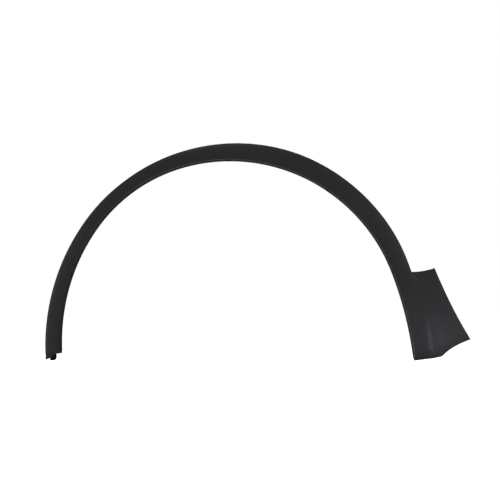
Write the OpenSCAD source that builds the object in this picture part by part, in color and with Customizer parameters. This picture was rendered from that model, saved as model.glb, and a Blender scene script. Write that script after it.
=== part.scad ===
// Front wheel arch trim for the left side of a family car: one black plastic moulding that follows
// the wheel opening from the bumper, at the front, round to a widened foot at the sill, and the
// push-in clips that hold it to the body side.
// Frame: +X runs to the rear of the car, +Y inboard, +Z up. The origin is the middle of the crown
// screw's hole, where it opens into the wheel arch. The face that is seen looks along -Y.

/* [Wheel opening] */
// Radius of the opening along the front leg
front_leg_r = 447; // [430:1:465]
// Radius of the opening over the front of the crown
crown_front_r = 370; // [360:1:380]
// Radius of the opening over the rear of the crown
crown_rear_r = 396.5; // [386:0.5:408]
// Radius of the opening along the rear leg
rear_leg_r = 810; // [700:5:900]
// Direction of the edge at the front end, in degrees above level
front_end_dir = 93.5; // [88:0.1:96]
// Direction where the front leg meets the crown
front_leg_dir = 53.7; // [48:0.1:60]
// Direction where the two crown radii meet
crown_dir = 14.7; // [8:0.1:20]
// Direction where the crown meets the rear leg
rear_leg_dir = -68.5; // [-70:0.1:-62]
// Direction at the step down from the band to the foot
step_dir = -69.7; // [-71:0.1:-68.8]
// Direction at the bottom of the rear leg
rear_end_dir = -83.3; // [-84:0.1:-82]

/* [Body side] */
// Radius of the body side seen from above
plan_r = 2800; // [2400:50:3600]
// Radius of the body side seen from the front
side_r = 3300; // [2800:50:4200]
// How far behind the crown the body side turns straight
flat_x = 250; // [200:5:300]
// How far below the crown the body side turns upright
flat_z = -245; // [-260:5:-200]

/* [Band] */
// Width of the band along the front leg
front_w = 27.7; // [25:0.1:34]
// Width of the band round the rear of the crown
rear_w = 42.4; // [38:0.1:48]
// Extra width gained at the front end
end_flare = 5.5; // [2:0.1:8]
// Width lost at the bottom of the rear leg
heel_pinch = 8.4; // [4:0.1:10]
// Wall thickness
wall = 2.5; // [2.2:0.1:2.8]
// Radius round every edge of the face
edge_r = 3; // [3:0.1:3.6]
// Height of the face above the body along the wheel opening
inner_level = 10; // [9.5:0.1:11]
// Height of the face above the body along its outer edge
outer_level = 8; // [7.6:0.1:9]
// Bulge of the face between its edges
crown = 0.8; // [0.3:0.1:1.2]

/* [Return flange] */
// How far the flange reaches inboard of the body side
flange_reach = 12; // [10:0.5:16]
// Draft of the flange
flange_draft = 5; // [3:0.5:7]

/* [Foot] */
// Length of the foot's top edge
foot_top = 52; // [44:1:58]
// How far the top edge climbs on its way back
foot_rise = 8.8; // [4:0.1:11]
// How far behind the step the tip stands
tip_back = 131.5; // [122:0.5:138]
// How far below the step the tip stands
tip_drop = 151.5; // [144:0.5:156]
// How far behind the step the heel stands
heel_back = 69; // [62:0.5:72]
// How far below the step the heel stands
heel_drop = 190; // [186:0.5:193]
// How deep the foot's face lies below the band at the step
step_depth = 2.5; // [1.5:0.1:3]
// How far it stands proud of the band at the bottom
kick = 2.5; // [1.5:0.1:3.5]
// Height of the tip above the body
tip_level = 18; // [14:0.5:20]

/* [Fixings] */
// Radius of the screw holes
screw_r = 3.2; // [2.6:0.1:3.4]
// Diameter of the boss round a screw hole
boss_d = 15; // [13:0.5:16]
// Diameter of a clip's neck
neck_d = 7; // [6:0.1:7.4]
// Play between a clip's neck and its slot
clip_play = 0.3; // [0.2:0.05:0.5]
// Length of a clip's arrowhead
arrow_len = 13; // [11:0.5:15]

/* [Hidden] */
// Directions along the arch, in degrees: clips, cross ribs, screws and locating pins
clip_dirs = [84, 60, 38, 16, -11, -36, -60];
rib_dirs = [89, 77, 66, 54, 44, 31, 22, 8, -5, -18, -29, -43, -53, -66];
screw_dirs = [70, 35, 0, -35, -66];
pin_dirs = [50, -23];
// Webs across the foot, as shares of its height. A clip stands midway between two of them, at a
// share of the foot's width.
foot_ribs = [0.14, 0.5, 0.86];
foot_clip_u = [0.36, 0.3];
foot_clips = [for (k = [0 : 1]) [foot_clip_u[k], (foot_ribs[k] + foot_ribs[k + 1]) / 2]];
clip_count = len(clip_dirs) + len(foot_clips);

// Tower that holds a clip: a deck with a slot, on three walls
deck_level = 1.2;
deck_t = 1.6;
tower_l = 20;
tower_w = 17;
tower_wall = 1.5;
// Webs: thickness, steps along the top, and how far anything under the face is sunk into it
rib_t = 1.5;
web_steps = 6;
bury = 0.4;
// Lap at the front end, which slips under the bumper's trim
lap_t = 2.2;
lap_level = 5.6;
lap_hold = 9;
lap_out = 12.9;
lap_inset = 0.6;
lap_flare = 0.9;
lap_rise = 3;
lap_w = 9;
lap_near = 10;
lap_end = 1;
// Hook beside the lap
hook_level = 1.5;
hook_root = 4;
hook_out = 15;
hook_inset = 9.7;
hook_w = 16.1;
hook_r = 8;
// Screw bosses: how far they stand out of the flange on each side
boss_proud = 0.5;
boss_back = 1.3;
// Locating pins
pin_d = 5;
pin_tip_d = 2.4;
pin_l = 6;
// Clip: head, neck, collar, skirt on the body, arrowhead
clip_gap = 0.1;
head_d = 12.4;
head_t = 1.8;
collar_d = 14.5;
collar_t = 0.9;
skirt_d = 17;
skirt_t = 1.2;
arrow_w = 8.8;
arrow_t = 5.2;
arrow_slit = 1.2;
end_lip = 1;
foot_draft = 1;
cut = 1;
fine = 48;

// How the band's width changes, in degrees along the arch
taper_from = 42;
taper_span = 70;
flare_from = 50;
flare_span = 44;
pinch_from = -40;
pinch_span = 43;
// Bends of the foot's top, rear and bottom edges, as shares of their spans
top_bend = [0.5, 0.03];
rear_bend = [0.506, 0.611];
bottom_bend = [0.286, 0.588];
// Where the crease is gone, where the foot starts to stand proud and over how much of its height
crease_fade = 0.16;
kick_from = 0.42;
kick_span = 0.5;

// Grid of the face: rows run across the band, from the front end to the bottom of the foot
band_rows = 64;
foot_v = [0, 0.03, 0.09, 0.17, 0.27, 0.38, 0.5, 0.61, 0.72, 0.82, 0.9, 0.955, 1];
band_u = [0, 0.14, 0.3, 0.5, 0.7, 0.86, 1];
heel_u = 0.27;
foot_u = [0.04, 0.13, heel_u, 0.45, 0.65, 0.85, 1];
last_row = band_rows + len(foot_v) - 1;
crease_col = len(band_u) - 1;
last_col = crease_col + len(foot_u);
curl_from = 0.86;
curl = 7;
// Share of the curl that the foot's face takes
foot_curl = 0.6;
round_steps = [30, 60, 90];

function clamp(x) = min(1, max(0, x));
function ease(x) = let (c = clamp(x)) c * c * (3 - 2 * c);
function mix(a, b, s) = a + (b - a) * s;
function unit(v) = v / norm(v);
function part_way(a, b, s) = [mix(a.x, b.x, s.x), mix(a.y, b.y, s.y)];
function bend(a, b, c, s) = mix(mix(a, b, s), mix(b, c, s), s);

// Opening's edge in the side view, from its direction of travel. [0, 0] is the top of the crown.
function across(dir) = [-sin(dir), cos(dir)];
crown_rear_c = [0, -crown_rear_r];
crown_front_c = crown_rear_c + (crown_rear_r - crown_front_r) * across(crown_dir);
front_leg_c = crown_front_c + (crown_front_r - front_leg_r) * across(front_leg_dir);
rear_leg_c = crown_rear_c + (crown_rear_r - rear_leg_r) * across(rear_leg_dir);
function edge(dir) =
    dir > front_leg_dir ? front_leg_c + front_leg_r * across(dir)
    : dir > crown_dir ? crown_front_c + crown_front_r * across(dir)
    : dir > rear_leg_dir ? crown_rear_c + crown_rear_r * across(dir)
    : rear_leg_c + rear_leg_r * across(dir);
function band_w(dir) =
    mix(front_w, rear_w, ease((taper_from - dir) / taper_span))
    + end_flare * pow(clamp((dir - flare_from) / flare_span), 1.5)
    - heel_pinch * pow(clamp((pinch_from - dir) / pinch_span), 3);
function band_point(dir, u) = edge(dir) + u * band_w(dir) * across(dir);

// Foot: a patch between its top edge, the crease, its rear edge and its bottom edge
step_p = band_point(step_dir, 1);
crease_end = band_point(rear_end_dir, 1);
top_corner = step_p + [foot_top, foot_rise];
tip_p = step_p + [tip_back, -tip_drop];
heel_p = step_p + [heel_back, -heel_drop];
function foot_top_edge(u) =
    bend(step_p, part_way(step_p, top_corner, top_bend), top_corner, u);
function foot_rear_edge(v) =
    bend(top_corner, part_way(top_corner, tip_p, rear_bend), tip_p, v);
function foot_bottom_edge(u) =
    u <= heel_u ? mix(crease_end, heel_p, u / heel_u)
    : bend(heel_p, part_way(heel_p, tip_p, bottom_bend), tip_p, (u - heel_u) / (1 - heel_u));
function leg_dir(v) = mix(step_dir, rear_end_dir, v);
function foot_point(u, v) =
    mix(foot_top_edge(u), foot_bottom_edge(u), v)
    + mix(band_point(leg_dir(v), 1), foot_rear_edge(v), u)
    - mix(mix(step_p, top_corner, u), mix(crease_end, tip_p, u), v);

// Height of the face above the body side
function curl_at(v) = curl * pow(clamp((v - curl_from) / (1 - curl_from)), 2);
function band_level(u, v = 0) =
    mix(inner_level, outer_level, u) + crown * (1 - clamp(4 * v)) * 4 * u * (1 - u) - curl_at(v);
function foot_level(u, v) =
    let (
        near = outer_level - step_depth * (1 - ease(v / crease_fade))
            + kick * ease((v - kick_from) / kick_span),
        far = mix(outer_level - step_depth, tip_level, v)
    )
    mix(near, far, 1 - (1 - u) * (1 - u)) - foot_curl * curl_at(v);

// Body side: its normal, and a point at a height above it
function outward(p) =
    unit([-max(0, flat_x - p.x) / plan_r, -1, max(0, p.y - flat_z) / side_r]);
function set_back(p) =
    pow(max(0, flat_x - p.x), 2) / (2 * plan_r) + pow(max(0, p.y - flat_z), 2) / (2 * side_r);
function from_crown(p, level) = [p.x, set_back(p), p.y] + level * outward(p);

// Screw bosses stand square to the drafted flange. The crown screw's mouth is the origin.
screw_level = -flange_reach / 4;
boss_l = wall + boss_proud + boss_back;
function screw_point(dir) =
    edge(dir) - (band_level(0) - screw_level) * tan(flange_draft) * across(dir);
function flange_axis(dir) =
    let (
        n = outward(screw_point(dir)),
        t = [cos(dir), 0, sin(dir)],
        a = cross(n, unit(t - (t * n) * n))
    )
    -cos(flange_draft) * a + sin(flange_draft) * n;
function screw_mouth(dir) =
    from_crown(screw_point(dir), screw_level) + boss_proud * flange_axis(dir);
datum = screw_mouth(0);
function on_car(p, level) = from_crown(p, level) - datum;

// Face grid
function row_v(i) = i <= band_rows ? 0 : foot_v[i - band_rows];
function row_dir(i) =
    i <= band_rows ? mix(front_end_dir, step_dir, i / band_rows) : leg_dir(row_v(i));
function columns(i) = i < band_rows ? crease_col : last_col;
function plan_point(i, j) =
    j <= crease_col ? band_point(row_dir(i), band_u[j])
    : foot_point(foot_u[j - crease_col - 1], row_v(i));
function level_at(i, j) =
    j <= crease_col ? band_level(band_u[j], row_v(i))
    : foot_level(foot_u[j - crease_col - 1], row_v(i));
function grid_index(i, j) =
    j + (i <= band_rows ? i * (crease_col + 1)
        : band_rows * (crease_col + 1) + (i - band_rows) * (last_col + 1));

// Outline of the face, clockwise as seen: up the opening's edge from the foot, across the front end,
// back along the outer edge to the step, round the foot and along its bottom
outline = concat(
    [for (i = [last_row : -1 : 0]) [i, 0]],
    [for (j = [1 : crease_col]) [0, j]],
    [for (i = [1 : band_rows]) [i, crease_col]],
    [for (j = [crease_col + 1 : last_col]) [band_rows, j]],
    [for (i = [band_rows + 1 : last_row]) [i, last_col]],
    [for (j = [last_col - 1 : -1 : 1]) [last_row, j]]
);
outline_n = len(outline);
outline_p = [for (o = outline) plan_point(o[0], o[1])];
function square_to(a, b) = let (d = unit(b - a)) [-d.y, d.x];
// Outward direction at each point of the outline, stretched at corners so that the offset stays true
outline_out = [
    for (k = [0 : outline_n - 1])
        let (
            a = square_to(outline_p[(k + outline_n - 1) % outline_n], outline_p[k]),
            b = square_to(outline_p[k], outline_p[(k + 1) % outline_n])
        )
        (a + b) / (1 + a * b)
];
// Height at which the rim ends: deep along the opening, on the body elsewhere, short at the front end
function rim_level(o) =
    o[1] == 0 ? -flange_reach
    : o[0] == 0 && o[1] < crease_col ? outer_level - edge_r - end_lip
    : o[0] == last_row && o[1] < last_col ? mix(-flange_reach / 2, 0, o[1] / last_col)
    : 0;
function rim_draft(o) = o[1] == 0 && o[0] > 0 && o[0] < last_row ? flange_draft : foot_draft;

// One skin of the shell, set in from the outer one: the face grid, the rounded edge, then the rim
function on_outline(i, j) =
    j == 0 || i == 0 || i == last_row || j == columns(i) || (i == band_rows && j >= crease_col);
outline_at = [
    for (i = [0 : last_row]) [for (j = [0 : columns(i)])
        on_outline(i, j) ? search([[i, j]], outline)[0] : -1]
];
function face_skin(inset) = [
    for (i = [0 : last_row]) for (j = [0 : columns(i)])
        let (k = outline_at[i][j])
        on_car(plan_point(i, j) - (k >= 0 ? edge_r * outline_out[k] : [0, 0]), level_at(i, j) - inset)
];
function rim_ring(inset, angle) = [
    for (k = [0 : outline_n - 1])
        let (r = edge_r - inset, top = level_at(outline[k][0], outline[k][1]))
        on_car(
            outline_p[k] + (r * sin(angle) - edge_r) * outline_out[k],
            top - edge_r + r * cos(angle)
        )
];
function rim_tip(inset) = [
    for (k = [0 : outline_n - 1])
        let (
            top = level_at(outline[k][0], outline[k][1]),
            low = rim_level(outline[k]),
            splay = (top - low) * tan(rim_draft(outline[k]))
        )
        on_car(outline_p[k] + (splay - inset) * outline_out[k], low)
];
function skin(inset) = concat(
    face_skin(inset),
    [for (angle = round_steps) each rim_ring(inset, angle)],
    rim_tip(inset)
);

function flip(f) = [f[2], f[1], f[0]];
function strip(p, q) = [
    for (k = [0 : outline_n - 1])
        let (n = (k + 1) % outline_n)
        each [[p[k], q[k], q[n]], [p[k], q[n], p[n]]]
];

module shell() {
    outer = skin(0);
    inner = skin(wall);
    shift = len(outer);
    grid_n = grid_index(last_row, last_col) + 1;
    cells = [
        for (i = [0 : last_row - 1]) for (j = [0 : columns(i) - 1])
            let (
                a = grid_index(i, j),
                b = grid_index(i, j + 1),
                c = grid_index(i + 1, j + 1),
                d = grid_index(i + 1, j)
            )
            each [[a, b, c], [a, c, d]]
    ];
    rings = concat(
        [[for (o = outline) grid_index(o[0], o[1])]],
        [for (s = [0 : len(round_steps)]) [for (k = [0 : outline_n - 1]) grid_n + s * outline_n + k]]
    );
    edges = [for (s = [0 : len(rings) - 2]) each strip(rings[s], rings[s + 1])];
    skin_faces = concat(cells, edges);
    tip = rings[len(rings) - 1];
    polyhedron(
        points = concat(outer, inner),
        faces = concat(
            skin_faces,
            [for (f = skin_faces) flip([for (i = f) i + shift])],
            strip(tip, [for (i = tip) i + shift])
        )
    );
}

// Puts its children on the body side: X along the arch, Y away from the wheel, Z outboard
module on_body(p, dir, level = 0) {
    n = outward(p);
    t0 = [cos(dir), 0, sin(dir)];
    t = unit(t0 - (t0 * n) * n);
    a = cross(n, t);
    o = on_car(p, level);
    multmatrix([
        [t.x, a.x, n.x, o.x],
        [t.y, a.y, n.y, o.y],
        [t.z, a.z, n.z, o.z]
    ])
        children();
}

module block(x0, x1, y0, y1, z0, z1) {
    translate([x0, y0, z0]) cube([x1 - x0, y1 - y0, z1 - z0]);
}

// Tower with its slot open towards the rear end. top is the back of the face above it.
module tower(top) {
    slot_w = neck_d + 2 * clip_play;
    difference() {
        block(-tower_l / 2, tower_l / 2, -tower_w / 2, tower_w / 2, deck_level, top);
        block(
            -tower_l / 2 + tower_wall, tower_l / 2 + cut,
            -tower_w / 2 + tower_wall, tower_w / 2 - tower_wall,
            deck_level + deck_t, top + cut
        );
        translate([0, 0, deck_level - cut])
            cylinder(d = slot_w, h = deck_t + 2 * cut, $fn = fine);
        block(
            0, tower_l / 2 + cut, -slot_w / 2, slot_w / 2,
            deck_level - cut, deck_level + deck_t + cut
        );
    }
}

// Where each clip sits: point in the side view, direction along the arch, height of the face there
clip_sites = concat(
    [for (dir = clip_dirs) [band_point(dir, 0.5), dir, band_level(0.5)]],
    [for (s = foot_clips) [foot_point(s[0], s[1]), leg_dir(s[1]), foot_level(s[0], s[1])]]
);

module towers() {
    for (s = clip_sites) on_body(s[0], s[1]) tower(s[2] - wall + bury);
}

// Where a web's top is taken from the face, as shares of its run: on the band, and past the crease
along = [for (k = [0 : web_steps]) k / web_steps];
past_crease = concat([0], foot_u);

// Thin web from a to b in the side view. tops are the face's heights at shares of the run.
module web(a, b, shares, tops) {
    run = norm(b - a);
    on_body((a + b) / 2, atan2(b.y - a.y, b.x - a.x))
        rotate([90, 0, 0])
            linear_extrude(rib_t, center = true)
                polygon(concat(
                    [[run / 2, deck_level], [-run / 2, deck_level]],
                    [for (k = [0 : len(shares) - 1])
                        [run * (shares[k] - 0.5), tops[k] - wall + bury]]
                ));
}

// Webs across the band, from the flange's wall to the outer lip
module cross_ribs() {
    for (dir = rib_dirs) {
        side = wall / 2 / band_w(dir);
        web(
            band_point(dir, side), band_point(dir, 1 - side), along,
            [for (s = along) band_level(mix(side, 1 - side, s))]
        );
    }
}

// Webs across the foot, from the flange's wall past the crease to the rear lip
module foot_webs() {
    for (v = foot_ribs) {
        dir = leg_dir(v);
        side = wall / 2 / band_w(dir);
        web(
            band_point(dir, side), band_point(dir, 1 + side), along,
            [for (s = along) band_level(mix(side, 1, s), v)]
        );
        lip = 1 - wall / 2 / norm(foot_point(1, v) - foot_point(0, v));
        low = min(band_level(1, v), foot_level(0, v));
        web(
            foot_point(0, v), foot_point(lip, v), past_crease,
            [for (u = past_crease) u > 0 ? foot_level(lip * u, v) : low]
        );
    }
}

module boss(dir) {
    on_body(screw_point(dir), dir, screw_level)
        rotate([90 - flange_draft, 0, 0])
            translate([0, 0, boss_proud - boss_l])
                children();
}

module locating_pins() {
    for (dir = pin_dirs)
        on_body(band_point(dir, 0.5), dir) {
            translate([0, 0, -pin_l / 2])
                cylinder(d = pin_d, h = band_level(0.5) - wall + bury + pin_l / 2, $fn = fine);
            translate([0, 0, -pin_l]) cylinder(d1 = pin_tip_d, d2 = pin_d, h = pin_l / 2, $fn = fine);
        }
}

// Lap that slips under the next trim, and the hook beside it
module front_lap() {
    end_w = band_w(front_end_dir);
    on_body(edge(front_end_dir), front_end_dir, lap_level - lap_t)
        linear_extrude(lap_t)
            polygon([
                [lap_hold, end_w - lap_inset], [-lap_out, end_w + lap_flare],
                [lap_rise - lap_out, end_w - lap_w], [-lap_end, lap_near], [lap_hold, lap_near]
            ]);
    hook_y = end_w - hook_inset;
    on_body(edge(front_end_dir), front_end_dir, hook_level)
        linear_extrude(lap_level - lap_t - hook_level + bury)
            polygon(concat(
                [[hook_root, hook_y - hook_w], [hook_root, hook_y], [-hook_out, hook_y]],
                [for (t = [0 : 15 : 90]) [
                    hook_r - hook_out - hook_r * cos(t),
                    hook_y - hook_w + hook_r - hook_r * sin(t)
                ]]
            ));
}

module arch_moulding() {
    color([0.13, 0.13, 0.135])
        difference() {
            union() {
                shell();
                towers();
                cross_ribs();
                foot_webs();
                locating_pins();
                front_lap();
                for (dir = screw_dirs) boss(dir) cylinder(d = boss_d, h = boss_l, $fn = fine);
            }
            for (dir = screw_dirs)
                boss(dir)
                    translate([0, 0, -cut]) cylinder(r = screw_r, h = boss_l + 2 * cut, $fn = fine);
        }
}

// One half of the arrowhead, from its root to its point
arrow_half = [
    [0, clip_gap], [-0.27 * arrow_w, clip_gap], [-0.27 * arrow_w, -0.2 * arrow_len],
    [-0.5 * arrow_w, -0.31 * arrow_len], [-0.47 * arrow_w, -0.42 * arrow_len],
    [-0.17 * arrow_w, -arrow_len], [0, -arrow_len]
];

// Push-in clip: head above the deck, neck in the slot, collar and skirt below it, split arrowhead
module retaining_clip() {
    translate([0, 0, deck_level + deck_t]) cylinder(d = head_d, h = head_t, $fn = fine);
    translate([0, 0, clip_gap]) cylinder(d = neck_d, h = deck_level + deck_t, $fn = fine);
    translate([0, 0, deck_level - collar_t - clip_gap])
        cylinder(d = collar_d, h = collar_t, $fn = fine);
    translate([0, 0, -skirt_t / 2]) cylinder(d1 = skirt_d, d2 = head_d, h = skirt_t, $fn = fine);
    difference() {
        rotate([90, 0, 0])
            linear_extrude(arrow_t, center = true) {
                polygon(arrow_half);
                mirror([1, 0]) polygon(arrow_half);
            }
        block(
            -arrow_slit / 2, arrow_slit / 2, -arrow_t, arrow_t,
            2 * arrow_slit - arrow_len, -skirt_t
        );
    }
}

module clip_at(k) {
    s = clip_sites[k - 1];
    color([0.82, 0.82, 0.78]) on_body(s[0], s[1]) retaining_clip();
}

arch_moulding();
for (k = [1 : clip_count])
    clip_at(k);
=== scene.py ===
"""Looks of a front wheel arch trim for the left side of a family car.

One black plastic moulding follows the wheel opening and widens into a foot at the sill. Behind its
face it carries towers for nine push-in clips, stiffening webs, screw bosses and locating pins.
"""
import logging
import math
from dataclasses import dataclass, field
from enum import Enum
from typing import Callable, Iterable, Sequence, TypeVar

import bmesh
import bpy
from bmesh.types import BMEdge, BMesh, BMLayerItem, BMVert
from bpy.types import Material, Mesh, Node, NodeSocket, NodeTree, Object
from mathutils import Matrix, Vector


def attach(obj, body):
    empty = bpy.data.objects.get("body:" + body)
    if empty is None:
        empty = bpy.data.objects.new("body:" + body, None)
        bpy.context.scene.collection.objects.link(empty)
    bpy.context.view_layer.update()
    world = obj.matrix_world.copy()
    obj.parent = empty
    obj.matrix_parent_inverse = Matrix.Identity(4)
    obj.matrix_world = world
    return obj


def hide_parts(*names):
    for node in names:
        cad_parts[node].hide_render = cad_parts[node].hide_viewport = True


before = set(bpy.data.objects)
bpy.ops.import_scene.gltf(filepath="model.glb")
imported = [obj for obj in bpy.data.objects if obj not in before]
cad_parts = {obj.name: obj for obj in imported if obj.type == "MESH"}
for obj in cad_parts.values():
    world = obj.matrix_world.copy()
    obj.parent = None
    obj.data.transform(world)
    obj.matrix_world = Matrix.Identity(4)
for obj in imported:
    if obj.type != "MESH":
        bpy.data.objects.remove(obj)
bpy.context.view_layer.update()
LOG = logging.getLogger("wheel_arch_trim")

ROOT = "root"
WELD = 0.00001
SHARP_ANGLE = math.radians(32)
ROUND = 40
EDGE_STEPS = 2
TRIM_MIDDLE = (0.05, 0.0, -0.2)
WHITE = (1.0, 1.0, 1.0, 1.0)
NOISE_MIDDLE = 0.5

Blend = TypeVar("Blend", float, Vector)
Colour = tuple[float, float, float]
Place = tuple[float, float, float]


def clamp(value: float) -> float:
    """Returns value, held between 0 and 1."""
    return min(1.0, max(0.0, value))


def ease(value: float) -> float:
    """Returns a smooth step from 0 to 1."""
    held = clamp(value)
    return held * held * (3 - 2 * held)


def mix(start: Blend, end: Blend, share: float) -> Blend:
    """Returns the number or vector at a share of the way from start to end."""
    return start + (end - start) * share


def curve(start: Vector, end: Vector, pull: tuple[float, float], share: float) -> Vector:
    """Returns a point of the curve from start to end, drawn to the point at two shares of the way."""
    middle = Vector((mix(start.x, end.x, pull[0]), mix(start.y, end.y, pull[1])))
    return mix(mix(start, middle, share), mix(middle, end, share), share)


def across(direction: float) -> Vector:
    """Returns the unit vector away from the wheel, square to a direction in degrees."""
    turn = math.radians(direction)
    return Vector((-math.sin(turn), math.cos(turn)))


def verts_of(items: Iterable[object]) -> list[BMVert]:
    """Returns the vertices among what an operator made."""
    return [item for item in items if isinstance(item, BMVert)]


def as_data(name: str, mesh: BMesh) -> Mesh:
    """Turns a mesh that is being edited into mesh data.

    Args:
        name: Name of the data.
        mesh: The edited mesh, which is freed.

    Returns:
        The data.
    """
    data = bpy.data.meshes.new(name)
    mesh.to_mesh(data)
    mesh.free()
    return data


def add_object(name: str, data: object) -> Object:
    """Adds an object to the scene.

    Args:
        name: Its name.
        data: Its mesh, lamp or camera.

    Returns:
        The object.
    """
    made = bpy.data.objects.new(name, data)
    bpy.context.scene.collection.objects.link(made)
    return made


@dataclass(frozen=True)
class WheelOpening:
    """Edge of the wheel opening in the side view, as four arcs of different radii.

    Directions are those of travel from the front end to the foot, in degrees above level. The side
    view's origin is the top of the crown.
    """

    front_leg_r: float = 0.447
    crown_front_r: float = 0.370
    crown_rear_r: float = 0.3965
    rear_leg_r: float = 0.810
    front_end: float = 93.5
    front_leg: float = 53.7
    crown: float = 14.7
    rear_leg: float = -68.5
    step: float = -69.7
    rear_end: float = -83.3

    def point(self, direction: float) -> Vector:
        """Finds where the edge travels in a direction.

        Args:
            direction: The direction in degrees.

        Returns:
            The edge's point.
        """
        crown_rear_c = Vector((0.0, -self.crown_rear_r))
        crown_front_c = crown_rear_c + (self.crown_rear_r - self.crown_front_r) * across(self.crown)
        if direction > self.front_leg:
            centre = crown_front_c + (self.crown_front_r - self.front_leg_r) * across(self.front_leg)
            return centre + self.front_leg_r * across(direction)
        if direction > self.crown:
            return crown_front_c + self.crown_front_r * across(direction)
        if direction > self.rear_leg:
            return crown_rear_c + self.crown_rear_r * across(direction)
        centre = crown_rear_c + (self.crown_rear_r - self.rear_leg_r) * across(self.rear_leg)
        return centre + self.rear_leg_r * across(direction)

    def leg_direction(self, share: float) -> float:
        """Returns the direction at a share of the rear leg, from the step to the bottom."""
        return mix(self.step, self.rear_end, share)


@dataclass(frozen=True)
class BodySide:
    """Gently curved body side that the trim lies on, straight in its rear and its lower stretch."""

    plan_r: float = 2.8
    side_r: float = 3.3
    flat_x: float = 0.250
    flat_z: float = -0.245

    def past_flat(self, point: Vector) -> tuple[float, float]:
        """Returns how far a point of the side view lies ahead of the flat stretch, and above it."""
        return max(0.0, self.flat_x - point.x), max(0.0, point.y - self.flat_z)

    def outward(self, point: Vector) -> Vector:
        """Returns the unit vector out of the body side at a point of the side view."""
        ahead, above = self.past_flat(point)
        return Vector((-ahead / self.plan_r, -1.0, above / self.side_r)).normalized()

    def lift(self, point: Vector, level: float) -> Vector:
        """Finds a point above the body side.

        Args:
            point: Its place in the side view.
            level: Its height above the body side.

        Returns:
            The point, with the crown's top as origin.
        """
        ahead, above = self.past_flat(point)
        set_back = ahead**2 / (2 * self.plan_r) + above**2 / (2 * self.side_r)
        return Vector((point.x, set_back, point.y)) + level * self.outward(point)


@dataclass(frozen=True)
class Band:
    """Widths and heights of the band round the opening, and of its edges."""

    front_w: float = 0.0277
    rear_w: float = 0.0424
    taper_from: float = 42.0
    taper_span: float = 70.0
    end_flare: float = 0.0055
    flare_from: float = 50.0
    flare_span: float = 44.0
    flare_power: float = 1.5
    heel_pinch: float = 0.0084
    pinch_from: float = -40.0
    pinch_span: float = 43.0
    pinch_power: float = 3.0
    wall: float = 0.0025
    edge_r: float = 0.003
    inner_level: float = 0.010
    outer_level: float = 0.008
    crown: float = 0.0008
    crown_fade: float = 0.25
    flange_reach: float = 0.012
    flange_draft: float = 5.0
    lip_draft: float = 1.0
    end_lip: float = 0.001

    def width(self, direction: float) -> float:
        """Works out the band's width.

        Args:
            direction: Direction in which the opening's edge travels there, in degrees.

        Returns:
            The width.
        """
        flare = clamp((direction - self.flare_from) / self.flare_span) ** self.flare_power
        pinch = clamp((self.pinch_from - direction) / self.pinch_span) ** self.pinch_power
        taper = ease((self.taper_from - direction) / self.taper_span)
        return mix(self.front_w, self.rear_w, taper) + self.end_flare * flare - self.heel_pinch * pinch


@dataclass(frozen=True)
class Foot:
    """Outline and heights of the foot: offsets from the step, back and down."""

    top: float = 0.052
    rise: float = 0.0088
    tip_back: float = 0.1315
    tip_drop: float = 0.1515
    heel_back: float = 0.069
    heel_drop: float = 0.190
    heel_share: float = 0.27
    top_bend: tuple[float, float] = (0.5, 0.03)
    rear_bend: tuple[float, float] = (0.506, 0.611)
    bottom_bend: tuple[float, float] = (0.286, 0.588)
    step_depth: float = 0.0025
    kick: float = 0.0025
    tip_level: float = 0.018
    crease_fade: float = 0.16
    kick_from: float = 0.42
    kick_span: float = 0.5
    curl: float = 0.007
    curl_from: float = 0.86
    face_curl: float = 0.6


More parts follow.
